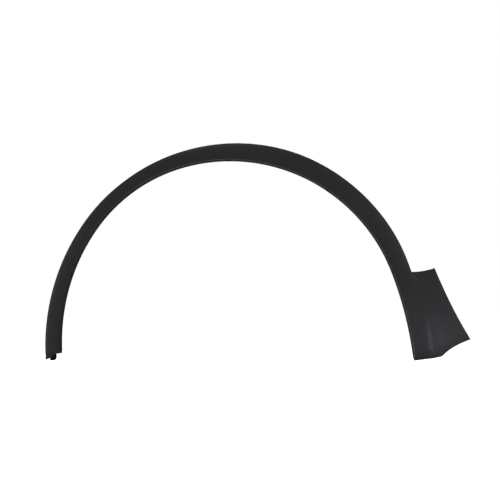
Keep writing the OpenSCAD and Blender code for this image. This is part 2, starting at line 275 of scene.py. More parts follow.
@dataclass(frozen=True)
class TrimForm:
    """Form of the moulding's face, which every piece is placed on."""

    opening: WheelOpening = WheelOpening()
    body: BodySide = BodySide()
    band: Band = Band()
    foot: Foot = Foot()
    boss_proud: float = 0.0005
    sunk: float = 0.0004

    @property
    def screw_level(self) -> float:
        """Returns the height of the flange's screws, below the body side."""
        return -self.band.flange_reach / 4

    def band_point(self, direction: float, share: float) -> Vector:
        """Returns a point of the side view at a share of the band's width."""
        return self.opening.point(direction) + share * self.band.width(direction) * across(direction)

    def foot_point(self, share: float, drop: float) -> Vector:
        """Finds a point of the foot, on a patch between its four edges.

        Args:
            share: How far it lies from the crease to the rear edge.
            drop: How far it lies from the top edge to the bottom edge.

        Returns:
            The point in the side view.
        """
        foot = self.foot
        step = self.band_point(self.opening.step, 1)
        crease_end = self.band_point(self.opening.rear_end, 1)
        corner = step + Vector((foot.top, foot.rise))
        tip = step + Vector((foot.tip_back, -foot.tip_drop))
        heel = step + Vector((foot.heel_back, -foot.heel_drop))
        top = curve(step, corner, foot.top_bend, share)
        rear = curve(corner, tip, foot.rear_bend, drop)
        if share <= foot.heel_share:
            bottom = mix(crease_end, heel, share / foot.heel_share)
        else:
            past = (share - foot.heel_share) / (1 - foot.heel_share)
            bottom = curve(heel, tip, foot.bottom_bend, past)
        sides = mix(self.band_point(self.opening.leg_direction(drop), 1), rear, share)
        corners = mix(mix(step, corner, share), mix(crease_end, tip, share), drop)
        return mix(top, bottom, drop) + sides - corners

    def curl(self, drop: float) -> float:
        """Returns how far the face curls in near the bottom edge."""
        return self.foot.curl * clamp((drop - self.foot.curl_from) / (1 - self.foot.curl_from)) ** 2

    def band_level(self, share: float, drop: float = 0.0) -> float:
        """Returns the height of the band's face, at a share of its width and so far down the leg."""
        bulge = self.band.crown * (1 - clamp(drop / self.band.crown_fade)) * 4 * share * (1 - share)
        return mix(self.band.inner_level, self.band.outer_level, share) + bulge - self.curl(drop)

    def foot_level(self, share: float, drop: float) -> float:
        """Works out the height of the foot's face above the body side.

        Args:
            share: How far the place lies from the crease to the rear edge.
            drop: How far it lies from the top edge to the bottom edge.

        Returns:
            The height.
        """
        foot = self.foot
        outer = self.band.outer_level
        sunk = foot.step_depth * (1 - ease(drop / foot.crease_fade))
        near = outer - sunk + foot.kick * ease((drop - foot.kick_from) / foot.kick_span)
        far = mix(outer - foot.step_depth, foot.tip_level, drop)
        return mix(near, far, 1 - (1 - share) ** 2) - foot.face_curl * self.curl(drop)

    def under_face(self, level: float) -> float:
        """Returns the top of a piece that is sunk a little into the wall whose face is at a level."""
        return level - self.band.wall + self.sunk

    def behind_band(self, direction: float, share: float) -> tuple[Matrix, float]:
        """Returns the seat of a piece behind a point of the band, and its top."""
        seat = self.seat(self.band_point(direction, share), direction)
        return seat, self.under_face(self.band_level(share))

    def behind_foot(self, share: float, drop: float) -> tuple[Matrix, float]:
        """Returns the seat of a piece behind a point of the foot, and its top."""
        seat = self.seat(self.foot_point(share, drop), self.opening.leg_direction(drop))
        return seat, self.under_face(self.foot_level(share, drop))

    def axes(self, point: Vector, direction: float) -> tuple[Vector, Vector, Vector]:
        """Finds the axes of a place on the body side.

        Args:
            point: The place in the side view.
            direction: Direction of the arch there, in degrees.

        Returns:
            The unit vectors along the arch, away from the wheel and out of the body side.
        """
        out = self.body.outward(point)
        turn = math.radians(direction)
        travel = Vector((math.cos(turn), 0.0, math.sin(turn)))
        along = (travel - travel.dot(out) * out).normalized()
        return along, out.cross(along), out

    def screw_point(self, direction: float) -> Vector:
        """Returns the place of a flange screw in the side view."""
        drop = (self.band_level(0) - self.screw_level) * math.tan(math.radians(self.band.flange_draft))
        return self.opening.point(direction) - drop * across(direction)

    def datum(self) -> Vector:
        """Finds the mouth of the crown's screw hole, the origin of the whole model.

        Returns:
            The mouth's middle, with the crown's top as origin.
        """
        draft = math.radians(self.band.flange_draft)
        point = self.screw_point(0)
        _, away, out = self.axes(point, 0)
        axis = -math.cos(draft) * away + math.sin(draft) * out
        return self.body.lift(point, self.screw_level) + self.boss_proud * axis

    def place(self, point: Vector, level: float) -> Vector:
        """Returns the model's point at a height above a point of the body side."""
        return self.body.lift(point, level) - self.datum()

    def seat(self, point: Vector, direction: float, level: float = 0.0) -> Matrix:
        """Returns the matrix that seats a piece: X along the arch, Y off the wheel, Z outboard."""
        turned = Matrix(self.axes(point, direction)).transposed().to_4x4()
        return Matrix.Translation(self.place(point, level)) @ turned

    def front_seat(self) -> Matrix:
        """Returns the matrix that seats a piece on the opening's edge at the front end."""
        end = self.opening.front_end
        return self.seat(self.opening.point(end), end)

    def screw_seat(self, direction: float) -> Matrix:
        """Finds the mouth of a screw hole on the drafted flange.

        Args:
            direction: Its direction along the arch, in degrees.

        Returns:
            The matrix that puts Z along the hole, out of its mouth, from the mouth's middle.
        """
        tilt = Matrix.Rotation(math.radians(90 - self.band.flange_draft), 4, "X")
        mouth = Matrix.Translation((0.0, 0.0, self.boss_proud))
        return self.seat(self.screw_point(direction), direction, self.screw_level) @ tilt @ mouth


FORM = TrimForm()


@dataclass(frozen=True)
class FacePoint:
    """A point of the face: its place in the side view, its height, and the rim's depth and draft."""

    place: Vector
    level: float
    rim_level: float
    rim_draft: float


@dataclass
class MouldingSkin:
    """Skin of the moulding: face, rounded edge, outer lip and return flange."""

    arch_rows: int = 220
    foot_rows: int = 46
    band_columns: int = 8
    foot_columns: int = 16
    edge_share: float = 0.14
    round_steps: int = 6
    crease_share: float = 0.46
    tuck: float = 0.0002
    plan: BMLayerItem = field(init=False)
    out: BMLayerItem = field(init=False)
    rim: BMLayerItem = field(init=False)

    def build(self) -> BMesh:
        """Builds the skin: the face first, then the rim from its outline, then the wall.

        Returns:
            The closed skin.
        """
        skin = bmesh.new()
        layers = skin.verts.layers.float_vector
        self.plan = layers.new("plan")
        self.out = layers.new("out")
        self.rim = layers.new("rim")
        rows = self.arch_rows + self.foot_rows
        self._grid(skin, self.band_columns, rows, self._band_face)
        self._grid(skin, self.foot_columns, self.foot_rows, self._foot_face)
        bmesh.ops.remove_doubles(skin, verts=skin.verts, dist=WELD)
        edges = self._outline(skin)
        for step in range(1, self.round_steps + 1):
            angle = math.radians(90 * step / self.round_steps)
            edges = self._extrude(skin, edges, lambda vert: self._ring(vert, angle))
        self._mark_flange(self._extrude(skin, edges, self._rim_tip))
        bmesh.ops.recalc_face_normals(skin, faces=skin.faces)
        foremost = min(skin.faces, key=lambda face: face.calc_center_median().y)
        if foremost.normal.y > 0:
            bmesh.ops.reverse_faces(skin, faces=skin.faces)
        bmesh.ops.solidify(skin, geom=skin.faces, thickness=FORM.band.wall)
        return skin

    def _grid(self, skin: BMesh, columns: int, rows: int, face: Callable[[int, int], FacePoint]) -> None:
        """Adds a grid and moves each of its points to its place on the body side.

        Args:
            skin: Mesh that takes the grid.
            columns: Cells across.
            rows: Cells along.
            face: Gives the point of the face at a column and a row.
        """
        made = bmesh.ops.create_grid(skin, x_segments=columns, y_segments=rows, size=0.5)
        for vert in made["verts"]:
            point = face(round((vert.co.x + 0.5) * columns), round((vert.co.y + 0.5) * rows))
            vert[self.plan] = (point.place.x, point.place.y, point.level - self.tuck)
            vert[self.rim] = (point.rim_level, math.tan(math.radians(point.rim_draft)), 0.0)
            vert.co = FORM.place(point.place, point.level - self.tuck)

    def _band_face(self, column: int, row: int) -> FacePoint:
        """Works out a point of the band.

        Args:
            column: Its column, from the opening out.
            row: Its row, from the front end to the bottom of the foot.

        Returns:
            The point.
        """
        band = FORM.band
        inner = self.edge_share + (1 - 2 * self.edge_share) * (column - 1) / (self.band_columns - 2)
        share = {0: 0.0, self.band_columns: 1.0}.get(column, inner)
        drop = max(0, row - self.arch_rows) / self.foot_rows
        direction = FORM.opening.leg_direction(drop)
        if drop == 0:
            direction = mix(FORM.opening.front_end, FORM.opening.step, row / self.arch_rows)
        at_front = row == 0
        at_bottom = drop == 1
        low = 0.0
        draft = band.lip_draft
        if column == 0:
            low = -band.flange_reach
            draft = band.lip_draft if at_front or at_bottom else band.flange_draft
        elif at_front and share < 1:
            low = band.outer_level - band.edge_r - band.end_lip
        elif at_bottom:
            low = mix(-band.flange_reach / 2, 0, self.crease_share * share)
        return FacePoint(FORM.band_point(direction, share), FORM.band_level(share, drop), low, draft)

    def _foot_face(self, column: int, row: int) -> FacePoint:
        """Works out a point of the foot.

        Args:
            column: Its column, from the crease back.
            row: Its row, from the step down.

        Returns:
            The point, which is the band's own at the crease.
        """
        if column == 0:
            return self._band_face(self.band_columns, self.arch_rows + row)
        band = FORM.band
        share = column / self.foot_columns
        drop = row / self.foot_rows
        low = 0.0
        if drop == 1 and share < 1:
            low = mix(-band.flange_reach / 2, 0, mix(self.crease_share, 1, share))
        return FacePoint(FORM.foot_point(share, drop), FORM.foot_level(share, drop), low, band.lip_draft)

    def _outline(self, skin: BMesh) -> list[BMEdge]:
        """Notes the outward direction at each point of the outline and sets the point in.

        Args:
            skin: Mesh of the face.

        Returns:
            The edges of the outline.
        """
        edges = [edge for edge in skin.edges if edge.is_boundary]
        verts = {vert for edge in edges for vert in edge.verts}
        for vert in verts:
            here = Vector(vert[self.plan][:2])
            squares = []
            for edge in (edge for edge in vert.link_edges if edge.is_boundary):
                run = (Vector(edge.other_vert(vert)[self.plan][:2]) - here).normalized()
                corners = [Vector(corner[self.plan][:2]) for corner in edge.link_faces[0].verts]
                inside = sum(corners, Vector((0.0, 0.0))) / len(corners) - here
                square = Vector((run.y, -run.x))
                squares.append(square if square.dot(inside) < 0 else -square)
            mitre = (squares[0] + squares[1]) / (1 + squares[0].dot(squares[1]))
            vert[self.out] = (mitre.x, mitre.y, 0.0)
        for vert in verts:
            vert.co = self._ring(vert, 0.0)
        return edges

    def _extrude(self, skin: BMesh, edges: list[BMEdge], place: Callable[[BMVert], Vector]) -> list[BMEdge]:
        """Extrudes the open edges and moves each new point to its place.

        Args:
            skin: Mesh that they belong to.
            edges: The open edges.
            place: Gives a new point's place from what its layers hold.

        Returns:
            The new open edges.
        """
        made = bmesh.ops.extrude_edge_only(skin, edges=edges)["geom"]
        for vert in verts_of(made):
            vert.co = place(vert)
        return [item for item in made if isinstance(item, BMEdge) and item.is_boundary]

    def _mark_flange(self, tips: list[BMEdge]) -> None:
        """Gives the return flange the skin's second finish.

        Args:
            tips: Edges at the end of the rim. The flange is the part of it with the greater draft.
        """
        lip_slope = math.tan(math.radians(FORM.band.lip_draft))
        for tip in tips:
            if any(vert[self.rim].y > lip_slope + WELD for vert in tip.verts):
                tip.link_faces[0].material_index = 1

    def _beside(self, vert: BMVert, shift: float, level: float) -> Vector:
        """Returns the place that lies out from a point of the outline by a shift, at a level."""
        point = Vector(vert[self.plan][:2]) + (shift - self.tuck) * Vector(vert[self.out][:2])
        return FORM.place(point, level)

    def _ring(self, vert: BMVert, angle: float) -> Vector:
        """Works out a place on the face's rounded edge.

        Args:
            vert: Point of the outline.
            angle: Angle round the edge, from the face, in radians.

        Returns:
            The place.
        """
        edge_r = FORM.band.edge_r
        level = vert[self.plan].z - edge_r * (1 - math.cos(angle))
        return self._beside(vert, edge_r * (math.sin(angle) - 1), level)

    def _rim_tip(self, vert: BMVert) -> Vector:
        """Returns the place at the end of the rim, below a point of the outline."""
        rim_level, slope, _ = vert[self.rim]
        return self._beside(vert, (vert[self.plan].z - rim_level) * slope, rim_level)


def add_turned(mesh: BMesh, rings: Sequence[tuple[float, float]], seat: Matrix) -> None:
    """Adds a piece that is turned about Z and seats it.

    Args:
        mesh: Mesh that takes it.
        rings: Height and radius of each of its rings, from its lower end up.
        seat: The matrix that seats it.
    """
    height, radius = rings[0]
    ring = bmesh.ops.create_circle(mesh, cap_ends=True, segments=ROUND, radius=radius)["verts"]
    bmesh.ops.translate(mesh, verts=ring, vec=(0.0, 0.0, height))
    made = list(ring)
    for (lower, inner), (upper, outer) in zip(rings, rings[1:]):
        cap = next(face for face in ring[0].link_faces if len(face.verts) == ROUND)
        grown = verts_of(bmesh.ops.extrude_face_region(mesh, geom=[cap])["geom"])
        if len(made) > ROUND:  # Only the lowest cap stays.
            bmesh.ops.delete(mesh, geom=[cap], context="FACES_ONLY")
        bmesh.ops.scale(mesh, verts=grown, vec=(outer / inner, outer / inner, 1.0))
        bmesh.ops.translate(mesh, verts=grown, vec=(0.0, 0.0, upper - lower))
        ring = grown
        made += ring
    bmesh.ops.transform(mesh, verts=made, matrix=seat)


def add_plate(
    mesh: BMesh,
    outline: Iterable[Sequence[float]],
    levels: tuple[float, float],
    seat: Matrix,
    round_r: float = 0.0,
) -> None:
    """Adds a flat plate and seats it.

    Args:
        mesh: Mesh that takes it.
        outline: Its corners, in order.
        levels: Heights of its lower and its upper side.
        seat: The matrix that seats it.
        round_r: Radius of its edges, or 0 for sharp ones.
    """
    bottom, top = levels
    loop = [mesh.verts.new((*point, bottom)) for point in outline]
    base = mesh.faces.new(loop)
    raised = verts_of(bmesh.ops.extrude_face_region(mesh, geom=[base])["geom"])
    bmesh.ops.translate(mesh, verts=raised, vec=(0.0, 0.0, top - bottom))
    bmesh.ops.transform(mesh, verts=loop + raised, matrix=seat)
    if round_r:
        edges = list({edge for vert in loop + raised for edge in vert.link_edges})
        bmesh.ops.bevel(
            mesh, geom=edges, offset=round_r, segments=EDGE_STEPS, profile=0.5, affect="EDGES", material=-1
        )


def arc(centre: Sequence[float], radius: float, start: float, end: float, steps: int) -> list[Vector]:
    """Returns the points of an arc between two angles in degrees."""
    angles = [math.radians(mix(start, end, step / steps)) for step in range(steps + 1)]
    return [Vector(centre) + radius * Vector((math.cos(turn), math.sin(turn))) for turn in angles]


@dataclass(frozen=True)
class ClipTower:
    """Tower that holds a clip behind the face: a slotted deck with a wall round three sides."""

    level: float = 0.0012
    deck: float = 0.0016
    length: float = 0.020
    width: float = 0.017
    wall: float = 0.0015
    slot_w: float = 0.0076
    edge_r: float = 0.0003

    def add(self, mesh: BMesh, seat: Matrix, top: float) -> None:
        """Adds the tower, open at the end from which its clip slides in.

        Args:
            mesh: Mesh that takes it.
            seat: The matrix that seats it.
            top: Height of its walls' top, in the wall of the face.
        """
        half_l = self.length / 2
        half_w = self.width / 2
        inside = half_w - self.wall
        back = self.wall - half_l
        walls = (
            (half_l, -half_w),
            (half_l, -inside),
            (back, -inside),
            (back, inside),
            (half_l, inside),
            (half_l, half_w),
            (-half_l, half_w),
            (-half_l, -half_w),
        )
        add_plate(mesh, walls, (self.level, top), seat, self.edge_r)
        slot_r = self.slot_w / 2
        mouth = half_l - self.edge_r
        side = half_w - self.wall / 2
        rear = back - self.wall / 2
        deck = (
            *arc((0.0, 0.0), slot_r, 90, 270, ROUND // 2),
            (mouth, -slot_r),
            (mouth, -side),
            (rear, -side),
            (rear, side),
            (mouth, side),
            (mouth, slot_r),
        )
        add_plate(mesh, deck, (self.level + self.edge_r, self.level + self.deck), seat)


@dataclass(frozen=True)
class Web:
    """Thin web between two points of the side view, up to the back of the face."""

    thickness: float = 0.0015
    bottom: float = 0.0012
    cells: int = 16

    def add(self, mesh: BMesh, ends: tuple[Vector, Vector], level: Callable[[float], float]) -> None:
        """Adds the web.

        Args:
            mesh: Mesh that takes it.
            ends: Its two ends in the side view.
            level: Gives the face's height at a share of the way between them.
        """
        start, end = ends
        run = end - start
        seat = FORM.seat((start + end) / 2, math.degrees(math.atan2(run.y, run.x)))
        made = bmesh.ops.create_grid(mesh, x_segments=self.cells, y_segments=1, size=0.5)["verts"]
        faces = list({face for vert in made for face in vert.link_faces})
        for vert in made:
            top = FORM.under_face(level(vert.co.x + 0.5))
            height = top if vert.co.y > 0 else self.bottom
            vert.co = Vector((vert.co.x * run.length, -self.thickness / 2, height))
        others = verts_of(bmesh.ops.extrude_face_region(mesh, geom=faces)["geom"])
        bmesh.ops.translate(mesh, verts=others, vec=(0.0, self.thickness, 0.0))
        bmesh.ops.transform(mesh, verts=made + others, matrix=seat)


@dataclass(frozen=True)
class ScrewBoss:
    """Boss round a screw hole of the return flange."""

    hole_r: float = 0.0032
    outer_r: float = 0.0075
    back: float = 0.0013
    edge_r: float = 0.0004

    def add(self, mesh: BMesh, direction: float) -> None:
        """Adds the boss: a tube, made by turning its section.

        Args:
            mesh: Mesh that takes it.
            direction: Its direction along the arch, in degrees.
        """
        depth = FORM.boss_proud + FORM.band.wall + self.back
        before = set(mesh.verts)
        corners = (
            (self.hole_r, -depth),
            (self.outer_r, -depth),
            (self.outer_r, -self.edge_r),
            (self.outer_r - self.edge_r, 0.0),
            (self.hole_r, 0.0),
        )
        section = [mesh.verts.new((radius, 0.0, height)) for radius, height in corners]
        edges = [mesh.edges.new((section[k - 1], section[k])) for k in range(len(section))]
        bmesh.ops.spin(
            mesh, geom=section + edges, axis=(0.0, 0.0, 1.0), angle=2 * math.pi, steps=ROUND, use_merge=True
        )
        turned = [vert for vert in mesh.verts if vert not in before]
        bmesh.ops.transform(mesh, verts=turned, matrix=FORM.screw_seat(direction))

    def cutter(self, mesh: BMesh, direction: float) -> None:
        """Adds the rod that cuts the hole through the flange."""
        reach = FORM.band.wall + self.back
        add_turned(mesh, ((-2 * reach, self.hole_r), (reach, self.hole_r)), FORM.screw_seat(direction))


@dataclass(frozen=True)
class LocatingPin:
    """Pin that finds its hole in the body side before the clips do."""

    radius: float = 0.0025
    tip_r: float = 0.0012
    length: float = 0.006
    share: float = 0.5

    def add(self, mesh: BMesh, direction: float) -> None:
        """Adds the pin, straight at its root and tapered towards its tip.

        Args:
            mesh: Mesh that takes it.
            direction: Its direction along the arch, in degrees.
        """
        seat, top = FORM.behind_band(direction, self.share)
        waist = -self.length / 2
        add_turned(mesh, ((-self.length, self.tip_r), (waist, self.radius), (top, self.radius)), seat)


def in_row(add: Callable[[BMesh, float], None], dirs: Iterable[float]) -> BMesh:
    """Builds one kind of sub-part at several places along the arch.

    Args:
        add: Adds it to a mesh, at a direction along the arch.
        dirs: The directions.

    Returns:
        Their mesh.
    """
    mesh = bmesh.new()
    for direction in dirs:
        add(mesh, direction)
    return mesh


@dataclass(frozen=True)
class FrontLap:
    """Lap at the front end, which slips under the bumper's trim, and the hook beside it."""

    thickness: float = 0.0022
    level: float = 0.0056
    hold: float = 0.009
    reach: float = 0.0129
    inset: float = 0.0006
    flare: float = 0.0009
    rise: float = 0.003
    width: float = 0.009
    near: float = 0.01
    end: float = 0.001
    hook_level: float = 0.0015
    hook_root: float = 0.004
    hook_out: float = 0.015
    hook_inset: float = 0.0097
    hook_w: float = 0.0161
    hook_r: float = 0.008
    corner_steps: int = 8

    def lap(self) -> BMesh:
        """Builds the lap, cut on the slant beside the hook.

        Returns:
            Its mesh.
        """
        mesh = bmesh.new()
        end_w = FORM.band.width(FORM.opening.front_end)
        outline = (
            (self.hold, end_w - self.inset),
            (-self.reach, end_w + self.flare),
            (self.rise - self.reach, end_w - self.width),
            (-self.end, self.near),
            (self.hold, self.near),
        )
        add_plate(mesh, outline, (self.level - self.thickness, self.level), FORM.front_seat())
        return mesh

    def hook(self) -> BMesh:
        """Builds the hook, rounded at the corner nearer the wheel.

        Returns:
            Its mesh.
        """
        mesh = bmesh.new()
        side = FORM.band.width(FORM.opening.front_end) - self.hook_inset
        far = side - self.hook_w
        centre = (self.hook_r - self.hook_out, far + self.hook_r)
        outline = (
            (self.hook_root, far),
            (self.hook_root, side),
            (-self.hook_out, side),
            *arc(centre, self.hook_r, 180, 270, self.corner_steps),
        )
        top = self.level - self.thickness + FORM.sunk
        add_plate(mesh, outline, (self.hook_level, top), FORM.front_seat())
        return mesh


def maths(operation: str, reflected: bool = False) -> Callable[["Field", object], "Field"]:
    """Makes a method of Field that adds a Math node.

    Args:
        operation: What the node works out.
        reflected: Whether the field is the second of the two values.

    Returns:
        The method.
    """

    def method(first: "Field", other: object) -> "Field":
        """Returns what the new node makes of the field and another value."""
        values = (other, first) if reflected else (first, other)
        return first.graph.field_of("ShaderNodeMath", dict(enumerate(values)), operation=operation)

    return method


class Field:
    """A shader value that takes part in Python arithmetic and adds Math nodes as it does."""

    def __init__(self, graph: "Graph", socket: NodeSocket) -> None:
        """Wraps a socket of a graph."""
        self.graph = graph
        self.socket = socket

    __add__ = maths("ADD")
    __radd__ = maths("ADD", reflected=True)
    __sub__ = maths("SUBTRACT")
    __rsub__ = maths("SUBTRACT", reflected=True)
    __mul__ = maths("MULTIPLY")
    __rmul__ = maths("MULTIPLY", reflected=True)
    larger = maths("MAXIMUM")
    smaller = maths("MINIMUM")

    def clamped(self) -> "Field":
        """Returns the value, held between 0 and 1."""
        return self.larger(0.0).smaller(1.0)


@dataclass(frozen=True)
class Noise:
    """Size and roughness of a noise pattern."""

    scale: float
    detail: float
    roughness: float


@dataclass(frozen=True)
class Relief:
    """Depth of a bumped surface in metres, and how much of it shows."""

    depth: float
    strength: float


class Graph:
    """Node tree of a material or of the world."""

    def __init__(self, tree: NodeTree) -> None:
        """Empties the tree."""
        self.tree = tree
        tree.nodes.clear()

    def node(self, kind: str, inputs: dict[object, object], **settings: object) -> Node:
        """Adds a node.

        Args:
            kind: The node's type.
            inputs: Values or links of its sockets, by name or number.
            settings: Its own settings, which are set first.

        Returns:
            The node.
        """
        made = self.tree.nodes.new(kind)
        for name, value in settings.items():
            setattr(made, name, value)
        for name, value in inputs.items():
            if isinstance(value, Field):
                value = value.socket
            if isinstance(value, NodeSocket):
                self.tree.links.new(value, made.inputs[name])
            else:
                made.inputs[name].default_value = value
        return made

    def show(self, shader: Node, output: str = "ShaderNodeOutputMaterial") -> None:
        """Sends a shader to the tree's output."""
        self.node(output, {"Surface": shader.outputs[0]})

    def place(self) -> NodeSocket:
        """Returns the object coordinates, in metres."""
        return self.node("ShaderNodeTexCoord", {}).outputs["Object"]

    def field_of(self, kind: str, inputs: dict[object, object], **settings: object) -> Field:
        """Adds a node and returns its first output."""
        return Field(self, self.node(kind, inputs, **settings).outputs[0])

    def noise(self, noise: Noise) -> Field:
        """Returns a noise over the piece, from 0 to 1."""
        sizes = {"Scale": noise.scale, "Detail": noise.detail, "Roughness": noise.roughness}
        return self.field_of("ShaderNodeTexNoise", {"Vector": self.place(), **sizes})

    def cell_edges(self, scale: float) -> Field:
        """Returns how far a place lies from the edges of cells, of which so many fill a metre."""
        inputs = {"Vector": self.place(), "Scale": scale}
        return self.field_of("ShaderNodeTexVoronoi", inputs, feature="DISTANCE_TO_EDGE")

    def blend(self, share: Field, first: Colour, second: Colour) -> NodeSocket:
        """Returns a colour between two colours."""
        inputs = {0: share, 6: (*first, 1.0), 7: (*second, 1.0)}
        return self.node("ShaderNodeMix", inputs, data_type="RGBA").outputs[2]

    def bump(self, height: Field, relief: Relief) -> NodeSocket:
        """Returns a normal that is bumped by a height from 0 to 1."""
        inputs = {"Height": height, "Distance": relief.depth, "Strength": relief.strength}
        return self.node("ShaderNodeBump", inputs).outputs["Normal"]

    def surface(self, colour: NodeSocket, roughness: object, specular: float, **more: NodeSocket) -> Node:
        """Returns the shader of a solid surface. Links of further sockets are given by name."""
        inputs = {"Base Color": colour, "Roughness": roughness, "Specular IOR Level": specular}
        return self.node("ShaderNodeBsdfPrincipled", {**inputs, **more})


def blank_material(name: str) -> tuple[Material, Graph]:
    """Makes an empty material.

    Args:
        name: Its name.

    Returns:
        The material and its node tree.
    """
    made = bpy.data.materials.new(name)
    made.use_nodes = True
    return made, Graph(made.node_tree)


@dataclass(frozen=True)
class MouldedBlack:
    """Black plastic with the fine leather grain of a moulding tool."""

    name: str = "moulded_black"
    dark: Colour = (0.0076, 0.0076, 0.0079)
    light: Colour = (0.0104, 0.0104, 0.0108)
    roughness: float = 0.42
    roughness_swing: float = 0.08
    specular: float = 0.09
    pebble_scale: float = 820.0
    valley_slope: float = 6.0
    fine: Noise = Noise(2542.0, 3.0, 0.6)
    cloud: Noise = Noise(14.0, 3.0, 0.55)
    pebble_height: float = 0.8
    fine_height: float = 0.35
    pebble_tone: float = 0.3
    cloud_tone: float = 0.7
    relief: Relief = Relief(0.00006, 0.5)

    def material(self) -> Material:
        """Builds the material: pebbles between fine valleys, over slow changes of tone.

        Returns:
            The material.
        """
        made, graph = blank_material(self.name)
        pebbles = (graph.cell_edges(self.pebble_scale) * self.valley_slope).clamped()
        fine = graph.noise(self.fine)
        cloud = graph.noise(self.cloud)
        height = pebbles * self.pebble_height + fine * self.fine_height
        tone = (cloud * self.cloud_tone + pebbles * self.pebble_tone).clamped()
        colour = graph.blend(tone, self.dark, self.light)
        roughness = self.roughness + (fine - cloud) * self.roughness_swing
        normal = graph.bump(height, self.relief)
        graph.show(graph.surface(colour, roughness, self.specular, Normal=normal))
        return made


@dataclass(frozen=True)
class MattePaintedLightBlack(MouldedBlack):
    """The same plastic on the return flange and its bosses, where a coarser grain leaves no shine; its
    colour is painted nearly twice as light as the face's, as painted light that keeps them from going
    black.
    """

    name: str = "matte_painted_light_black"
    # Painted light: nearly twice the face's colour, to make up for the shine these matte faces lack.
    dark: Colour = (0.0145, 0.0145, 0.0149)
    light: Colour = (0.0188, 0.0188, 0.0193)
    roughness: float = 0.75
    specular: float = 0.005
    relief: Relief = Relief(0.00008, 0.5)


@dataclass(frozen=True)
class FlowMarked:
    """Smooth moulded plastic with faint flow marks and fine specks."""

    name: str
    dark: Colour
    light: Colour
    roughness: float
    roughness_swing: float
    specular: float
    flow: Noise
    speck: Noise
    flow_height: float
    relief: Relief

    def material(self) -> Material:
        """Builds the material.

        Returns:
            The material.
        """
        made, graph = blank_material(self.name)
        flow = graph.noise(self.flow)
        height = flow * self.flow_height + graph.noise(self.speck) * (1 - self.flow_height)
        colour = graph.blend(flow, self.dark, self.light)
        roughness = self.roughness + (flow - NOISE_MIDDLE) * self.roughness_swing
        normal = graph.bump(height, self.relief)
        graph.show(graph.surface(colour, roughness, self.specular, Normal=normal))
        return made


@dataclass(frozen=True)
class PolishedBlack(FlowMarked):
    """The moulding's plastic where the tool is polished, behind the face."""

    name: str = "polished_black"
    dark: Colour = (0.0078, 0.0078, 0.0081)
    light: Colour = (0.0110, 0.0110, 0.0114)
    roughness: float = 0.30
    roughness_swing: float = 0.12
    specular: float = 0.18
    flow: Noise = Noise(60.0, 4.0, 0.6)
    speck: Noise = Noise(1320.0, 2.0, 0.5)
    flow_height: float = 0.5
    relief: Relief = Relief(0.00003, 0.3)


@dataclass(frozen=True)
class ShadedHookBlack(PolishedBlack):
    """The same plastic on the hook, smoother, with its colour and shine turned far down as painted shade
    for the recess it sits in at the front end.
    """

    name: str = "hook_painted_shade_black"
    # Painted shade: these colours are far below the plastic's own, and the low specular dims its
    # reflection, so the hook looks shaded.
    dark: Colour = (0.0010, 0.0010, 0.0011)
    light: Colour = (0.0020, 0.0020, 0.0021)
    specular: float = 0.03


@dataclass(frozen=True)
class NaturalNylon(FlowMarked):
    """Undyed nylon of the clips, slightly milky."""

    name: str = "natural_nylon"
    dark: Colour = (0.62, 0.61, 0.55)
    light: Colour = (0.74, 0.73, 0.68)
    roughness: float = 0.42
    roughness_swing: float = 0.12
    specular: float = 0.4
    flow: Noise = Noise(160.0, 4.0, 0.6)
    speck: Noise = Noise(2400.0, 2.0, 0.5)
    flow_height: float = 0.4
    relief: Relief = Relief(0.00004, 0.3)


@dataclass(frozen=True)
class PushInClips:
    """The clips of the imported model, which keep their shape and get their finish here."""

    nylon: NaturalNylon = NaturalNylon()
    prefix: str = "clip_"

    def dress(self) -> None:
        """Gives each clip its finish."""
        finish = self.nylon.material()
        for name, clip in sorted(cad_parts.items()):
            if name.startswith(self.prefix):
                for slot in clip.material_slots:
                    slot.material = finish
                LOG.info("%s: dressed", name)


